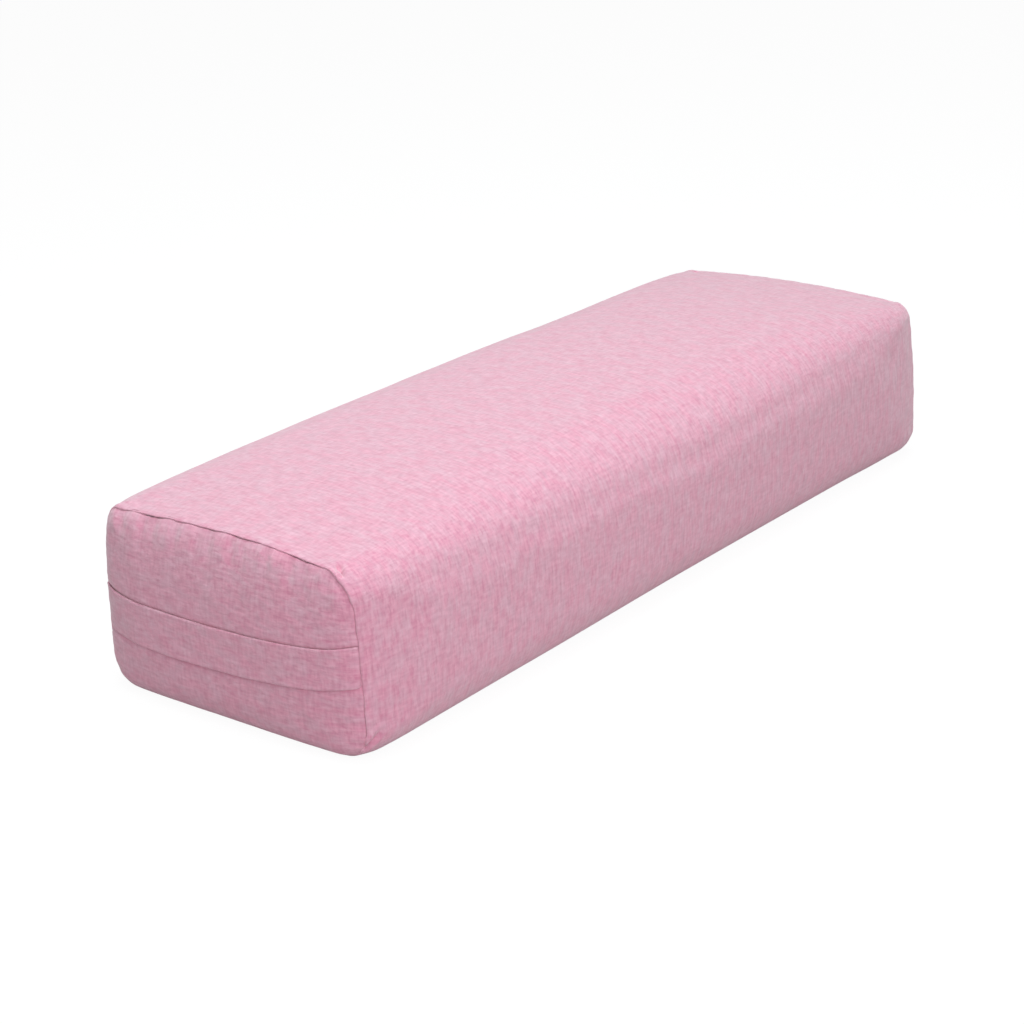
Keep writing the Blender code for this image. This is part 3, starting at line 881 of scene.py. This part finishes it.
# Across the tape: distance from the zip's centre line, and depth behind the zip's face
TAPE_ACROSS = np.array([0.0008, 0.0030, 0.0046, 0.0058, 0.0068, 0.0077, 0.0092, 0.0107])
TAPE_DEPTH = np.array([0.25, 0.25, 0.25, 0.55, 1.40, 2.15, 2.20, 2.20]) / 1000
tape_half = [0.0, *np.linspace(0.010, 0.280, 28), 0.2825, 0.2840, 0.2855, 0.2920]
TAPE_ROWS = np.concatenate([-np.array(tape_half[:0:-1]), tape_half])
TAPE_ENDS = ((0.2825, 0.2855), (0.0, 0.00215))  # where its ends dip too, and how deep


def zip_tape(name, side):
    """One woven tape. Side is 1 for the upper one."""
    tape, _, i, j = grid(name, len(TAPE_ACROSS) - 1, len(TAPE_ROWS) - 1)
    depth = np.maximum(TAPE_DEPTH[i], np.interp(np.abs(TAPE_ROWS[j]), *TAPE_ENDS))
    z = ZIP_HEIGHT + side * TAPE_ACROSS[i]
    write_points(tape, np.stack([ZIP_FACE + depth, TAPE_ROWS[j], z], 1))
    lay_cloth(tape, np.stack([TAPE_ACROSS[i], TAPE_ROWS[j]], 1))
    face_out(tape)
    thicken(tape, TAPE_THICKNESS, offset=0.0)
    return tape


tapes = []
for place, side in (("upper", 1), ("lower", -1)):
    tape = zip_tape("tape_" + place, side)
    stays(tape, "zip_tape", "zip_tape_" + place)
    tapes.append(tape)

# %% Guard strip behind the tapes
GUARD_BACK = 0.0028  # from the zip's face, clear of the slider's lower plate
GUARD_HALF = (0.008, 0.288)
GUARD_THICKNESS = 0.0004
guard, flat, _, _ = grid("zip_guard", 4, 24)
strip = flat[:, :2] * 2 * GUARD_HALF
x = np.full(len(strip), ZIP_FACE + GUARD_BACK)
write_points(guard, np.stack([x, strip[:, 1], ZIP_HEIGHT + strip[:, 0]], 1))
lay_cloth(guard, strip)
face_out(guard)
thicken(guard, GUARD_THICKNESS)
stays(guard, "cover_fabric")
print("guard strip", np.round(np.ptp(read_points(guard), axis=0), 4))

# %% Coils, one turn copied
COIL_PITCH = 0.0015
COIL_REACH = (0.00055, 0.0032)  # from the zip's centre line: the slider's wedge runs between
COIL_OUT = (0.0003, 0.0020)  # from the cover's face
FILAMENT = 0.0006
COIL_RUN = 0.2770


def repeat(obj, count, step):
    """Copies the object along a line, each copy one step on."""
    offset = {"use_constant_offset": True, "constant_offset_displace": step}
    modify(obj, "copies", "ARRAY", count=count, use_relative_offset=False, **offset)


coils = []
for place, side in (("upper", 1), ("lower", -1)):
    offset = 0.0 if side > 0 else COIL_PITCH / 2
    height = ZIP_HEIGHT + side * sum(COIL_REACH) / 2
    bpy.ops.mesh.primitive_torus_add(
        location=(ZIP_FACE - sum(COIL_OUT) / 2, offset - COIL_RUN, height),
        rotation=(math.radians(90), 0, 0), major_segments=10, minor_segments=4,
        major_radius=1.0, minor_radius=FILAMENT / 2,
    )
    coil = start("coil_" + place)
    bpy.ops.object.transform_apply(location=False, scale=False)
    turn_points = read_points(coil)
    ring = turn_points[:, [0, 2]]
    radius = np.linalg.norm(ring, axis=1)[:, None]
    way = ring / radius
    size = np.array([COIL_OUT[1] - COIL_OUT[0], COIL_REACH[1] - COIL_REACH[0]])
    oval = way * (size / 2 - FILAMENT / 2 + (radius - 1.0))
    lean = way[:, 0] * COIL_PITCH / 4
    write_points(coil, np.stack([oval[:, 0], turn_points[:, 1] + lean, oval[:, 1]], 1))
    bpy.ops.object.transform_apply()
    repeat(coil, int((2 * COIL_RUN - offset) / COIL_PITCH), (0.0, COIL_PITCH, 0.0))
    coil.data.shade_smooth()
    stays(coil, "zip_coil", "zip_coil_" + place)
    coils.append(coil)
    print(coil.name, triangles(coil), "triangles")

# %% Stops
stops = []
for node_name in ("zip_bottom_stop", "zip_top_stop_upper", "zip_top_stop_lower"):
    low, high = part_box(node_name)
    stop = block(node_name.replace("zip_", "") + "_clamp", (low + high) / 2, high - low)
    modify(stop, "pressed_edges", "BEVEL", width=0.00045, segments=3)
    stop.data.shade_smooth()
    stays(stop, "zip_metal", node_name)
    stops.append(stop)
print(len(stops), "stops")

# %% [markdown]
# The tapes are sewn in with one row of stitches round the slot. A stitch is a short spindle of
# thread that dips into the cloth. One is copied along each row, and set on the wrap's surface.

# %% Stitching round the slot
STITCH_PITCH = 0.003
STITCH = (0.0009, 0.0007, 0.0026)  # thickness, thickness and length
STITCH_ROW = SLOT_HALF + 0.0035  # from the zip's centre line
STITCH_ENDS = SLOT_END + 0.004
STITCH_OUT = 0.0001


def stitch_row(name, first, last):
    """A row of stitches beside the zip, from one place to another, each given as (y, z)."""
    way = Vector((0.0, last[0] - first[0], last[1] - first[1]))
    count = round(way.length / STITCH_PITCH)
    bpy.ops.mesh.primitive_uv_sphere_add(
        segments=6, ring_count=4, radius=0.5, scale=STITCH,
        location=Vector((0.0, *first)) + way * 0.5 / count,
        rotation=way.to_track_quat("Z", "X").to_euler(),
    )
    stitches = start(name)
    bpy.ops.object.transform_apply()
    repeat(stitches, count, way / count)
    points = read_points(stitches).reshape(count, -1, 3)
    for stitch in points:
        y, z = stitch[:, 1].mean(), stitch[:, 2].mean()
        hit = wrap_tree.ray_cast(Vector((-0.5, y, z)), Vector((1.0, 0.0, 0.0)))[0]
        stitch[:, 0] += hit.x - STITCH_OUT
    write_points(stitches, points.reshape(-1, 3))
    stitches.data.shade_smooth()
    return stitches


wrap_tree = BVHTree.FromObject(wrap, bpy.context.evaluated_depsgraph_get())
low, high = ZIP_HEIGHT - STITCH_ROW, ZIP_HEIGHT + STITCH_ROW
corners = ((-STITCH_ENDS, low), (STITCH_ENDS, low), (STITCH_ENDS, high), (-STITCH_ENDS, high))
join([stitch_row("stitch_row", a, b) for a, b in zip(corners, corners[1:] + corners[:1])])
stitching = start("zip_stitching")
stays(stitching, "cover_fabric")
print("stitching:", triangles(stitching), "triangles")

# %% [markdown]
# ## Materials
# Colours are written as a screen shows them, and one function turns them into the linear values
# that light adds up in. One small function adds a node with its settings and links, and each
# material is a short list of such nodes.


# %% Colour and node helpers
def linear(hex_colour):
    """An sRGB hex colour as linear red, green, blue and 1."""
    values = [int(hex_colour[i : i + 2], 16) / 255 for i in (0, 2, 4)]
    light = (v / 12.92 if v <= 0.04045 else ((v + 0.055) / 1.055) ** 2.4 for v in values)
    return (*light, 1.0)


def feed(made, sockets):
    """Sets a node's inputs, each to a value, or links it to a socket or to a node's output."""
    for key, value in sockets.items():
        if isinstance(value, bpy.types.Node):
            value = next(output for output in value.outputs if output.enabled)
        if isinstance(value, bpy.types.NodeSocket):
            made.id_data.links.new(value, made.inputs[key])
        else:
            made.inputs[key].default_value = value


def node(tree, kind, sockets=(), **settings):
    """Adds a node with its settings and links."""
    made = tree.nodes.new("ShaderNode" + kind)
    for name, value in settings.items():
        setattr(made, name, value)
    feed(made, dict(sockets))
    return made


def new_material(name):
    """A material with nothing but its Principled shader, and that shader's node."""
    made = bpy.data.materials.new(name)
    made.use_nodes = True
    return made, made.node_tree, made.node_tree.nodes["Principled BSDF"]


def dress(material, *pieces):
    """Gives each piece one material all over."""
    for piece in pieces:
        piece.data.materials.clear()
        piece.data.materials.append(material)
    print(material.name, "on", [piece.name for piece in pieces])


# %% [markdown]
# The cover is a linen-look polyester: a plain weave of slubby yarns spun from rose and greyed
# fibres. The eye sees soft patches, some rosier and some greyer, with short streaks along the
# yarns, a few deep rose flecks, and no gloss. The fibres that stand off the cloth whiten it where
# it is seen at a low angle, as the top is.

# %% Linen-look cover cloth
YARN = 0.0023  # over four times as coarse as the real 0.5 mm, so that it shows from two metres
SLUB = 0.012  # length of a slub or streak along the yarn
# Each pattern of the cloth: its size along U and along V in metres, detail and roughness
PATTERNS = {
    "weft": (SLUB, YARN, 2.0, 0.5),
    "warp": (YARN, 0.7 * SLUB, 2.0, 0.5),
    "patches": (0.017, 0.010, 4.0, 0.65),
    "flecks": (0.006, 0.0022, 1.0, 0.5),
    "dints": (0.009, 0.005, 3.0, 0.5),  # the soft dints that handling leaves in the cloth
}
MATT = {"Roughness": 0.92, "Specular IOR Level": 0.5, "Sheen Weight": 0.60, "Sheen Roughness": 0.65}
RGBA = {"data_type": "RGBA"}


def linen_look(name, rose, greyed, fleck):
    """The cover cloth, on its own UV map in metres, with the stronger yarns along U."""
    made, tree, shader = new_material(name)
    place = node(tree, "UVMap", uv_map="cloth")
    noise = {}
    for pattern, (u, v, detail, roughness) in PATTERNS.items():
        scale = {0: place, 1: (1 / u, 1 / v, 1.0)}
        scaled = node(tree, "VectorMath", scale, operation="MULTIPLY")
        look = {"Vector": scaled, "Scale": 1.0, "Detail": detail, "Roughness": roughness}
        noise[pattern] = node(tree, "TexNoise", look, noise_dimensions="2D")
    yarns = node(tree, "Mix", {0: 0.46, 2: noise["weft"], 3: noise["warp"]})
    patches = node(tree, "MapRange", {0: noise["patches"], 1: 0.36, 2: 0.64})
    ground = node(tree, "Mix", {0: patches, 6: linear(rose), 7: linear(greyed)}, **RGBA)
    light = node(tree, "MapRange", {0: yarns, 1: 0.30, 2: 0.70, 3: -0.085, 4: 0.085})
    toned = node(tree, "VectorMath", {0: ground, 1: light}, operation="ADD")
    flecks = node(tree, "MapRange", {0: noise["flecks"], 1: 0.60, 2: 0.75, 4: 0.45})
    colour = node(tree, "Mix", {0: flecks, 6: toned, 7: linear(fleck)}, **RGBA)
    dints = node(tree, "Bump", {"Strength": 0.7, "Distance": 0.0009, "Height": noise["dints"]})
    weave = {"Strength": 0.25, "Distance": 0.0003, "Height": yarns, "Normal": dints}
    feed(shader, {"Base Color": colour, "Normal": node(tree, "Bump", weave), **MATT})
    return made


cover_cloth = linen_look("linen_look_polyester", rose="DF93AD", greyed="DCA1B6", fleck="CC7B97")
dress(cover_cloth, *COVER, *strap_halves, guard)

# %% [markdown]
# The hidden pieces are plainer: white spunbonded bag cloth, white polyester wadding, and two foams
# that are told apart by colour, as foam makers do. Each still shows its own grain: the bag's bonded
# spots, the wadding's tufts and the foam's cells, which are drawn two or three times their real
# size. The zip has a ribbed tape dyed to the cover, a slightly glossy nylon coil, and cast zinc
# parts under a satin lacquer in the cover's colour, which lies a little unevenly.


# %% Materials of the inside and the zip
def grained(name, pale, deep, roughness, grain, depth, cells=False):
    """A material with grains of that size in metres, in two tones, and a relief of that depth."""
    made, tree, shader = new_material(name)
    place = node(tree, "TexCoord").outputs["Object"]
    pattern = {"Vector": place, "Scale": 1 / grain, "Detail": 2.0}
    grains = node(tree, "TexVoronoi" if cells else "TexNoise", pattern)
    share = node(tree, "MapRange", {0: grains, 1: 0.1 if cells else 0.3, 2: 0.7})
    colour = node(tree, "Mix", {0: share, 6: linear(deep), 7: linear(pale)}, **RGBA)
    worn = node(tree, "MapRange", {0: share, 3: roughness + 0.05, 4: roughness - 0.05})
    bump = node(tree, "Bump", {"Strength": 0.5, "Distance": depth, "Height": share})
    feed(shader, {"Base Color": colour, "Roughness": worn, "Normal": bump})
    return made


RIB, WEFT = 0.0008, 0.0004  # between ribs along the tape, and threads across it
WAVE_PERIOD = math.tau / 20  # of Blender's Wave texture at a scale of 1


def ribbed_tape(name, pale, deep):
    """Woven zip tape, with ribs along it."""
    made, tree, shader = new_material(name)
    waves = []
    for pitch, way in ((RIB, "X"), (WEFT, "Y")):
        pattern = {"Vector": node(tree, "UVMap", uv_map="cloth"), "Scale": WAVE_PERIOD / pitch}
        waves.append(node(tree, "TexWave", pattern, bands_direction=way).outputs["Fac"])
    weave = node(tree, "Mix", {0: 0.4, 2: waves[0], 3: waves[1]})
    colour = node(tree, "Mix", {0: weave, 6: linear(deep), 7: linear(pale)}, **RGBA)
    bump = node(tree, "Bump", {"Strength": 0.6, "Distance": 0.0002, "Height": weave})
    feed(shader, {"Base Color": colour, "Roughness": 0.8, "Normal": bump})
    return made


firm_foam = grained("firm_polyurethane_foam", "E8E8EB", "D6D6DA", 0.90, 0.0012, 0.0003, cells=True)
soft_foam = grained("soft_polyurethane_foam", "F2EBC9", "E4DBB4", 0.90, 0.0020, 0.0005, cells=True)
cad_metal = [frame["nodes"][name] for name in ("zip_slider", "zip_pull_tab")]
dress(grained("spunbonded_polypropylene", "F6F5F2", "E6E4DF", 0.85, 0.0012, 0.0001), liner)
dress(grained("polyester_wadding", "FBFBFA", "E9E8E4", 0.95, 0.0060, 0.0010), wadding)
dress(firm_foam, slabs[1])
dress(soft_foam, slabs[0], slabs[2])
dress(ribbed_tape("woven_polyester_tape", "DDA4B7", "C98BA1"), *tapes)
dress(grained("drawn_nylon_filament", "E2ADBE", "D69CB0", 0.35, 0.0030, 0.00005), *coils)
dress(grained("lacquered_zinc", "CF98AD", "C48CA2", 0.32, 0.0012, 0.00002), *stops, *cad_metal)
dress(grained("spun_polyester_thread", "E6AEC1", "C98AA2", 0.75, 0.0004, 0.00005), stitching)
for piece in cad_metal:
    edge = piece.modifiers.new("cast_edges", "BEVEL")
    edge.width = 0.00018
    edge.segments = 2
    edge.limit_method = "ANGLE"

# %% [markdown]
# ## Floor and light
# A plain studio: a white floor that runs out of sight, a white surround that only the camera and
# reflections see at full strength, and two large soft lamps: one overhead, and a wider one at the
# front right.

# %% Floor
FLOOR_SIZE, FLOOR_DROP = 60.0, 0.0004
GLOW, GLOW_SHARE = 1.03, 0.92  # how bright the camera sees the floor, and how much of that is glow
bpy.ops.mesh.primitive_plane_add(size=FLOOR_SIZE, location=(0.0, 0.0, -FLOOR_DROP))
floor = start("floor")
made, tree, shader = new_material("studio_floor")
camera_sees = node(tree, "LightPath").outputs["Is Camera Ray"]
paper = node(tree, "Mix", {0: camera_sees, 6: linear("CCBEC2"), 7: linear("F8F8F8")}, **RGBA)
feed(shader, {"Base Color": paper, "Roughness": 1.0, "Specular IOR Level": 0.0})
glow = node(tree, "Emission", {"Color": (1.0, 1.0, 1.0, 1.0), "Strength": GLOW})
share = node(tree, "Math", {0: camera_sees, 1: GLOW_SHARE}, operation="MULTIPLY")
mixed = node(tree, "MixShader", {0: share, 1: shader, 2: glow})
feed(tree.nodes["Material Output"], {"Surface": mixed})
dress(made, floor)
print("floor:", FLOOR_SIZE, "m")

# %% World
AMBIENT = 0.23
world = bpy.data.worlds.new("studio")
scene.world = world
world.use_nodes = True
tree = world.node_tree
rays = node(tree, "LightPath").outputs
seen = rays["Is Camera Ray"]
for other in ("Is Glossy Ray", "Is Transmission Ray"):
    seen = node(tree, "Math", {0: seen, 1: rays[other]}, operation="MAXIMUM")
strength = node(tree, "MapRange", {0: seen, 3: AMBIENT})
tint = node(tree, "Mix", {0: seen, 6: linear("FFF9FB"), 7: linear("FFFFFF")}, **RGBA)
feed(tree.nodes["Background"], {"Color": tint, "Strength": strength})
print("ambient light:", AMBIENT)


# %% Lamps
def softbox(name, place, watts, width, colour):
    """A round soft lamp that faces the bolster. Its width is in metres."""
    lamp = bpy.data.lights.new(name, "AREA")
    lamp.shape = "DISK"
    lamp.energy = watts
    lamp.size = width
    lamp.color = linear(colour)[:3]
    made = bpy.data.objects.new(name, lamp)
    made.location = place
    made.rotation_euler = Vector(place).to_track_quat("Z", "Y").to_euler()
    scene.collection.objects.link(made)
    print(name, watts, "W at", place)


softbox("overhead", (0.0, 0.0, 1.90), watts=27.0, width=1.5, colour="F7FFFF")
softbox("front_right", (1.48, -1.18, 1.52), watts=29.5, width=2.1, colour="F7FFFF")

# %% View settings
scene.view_settings.view_transform = "Standard"
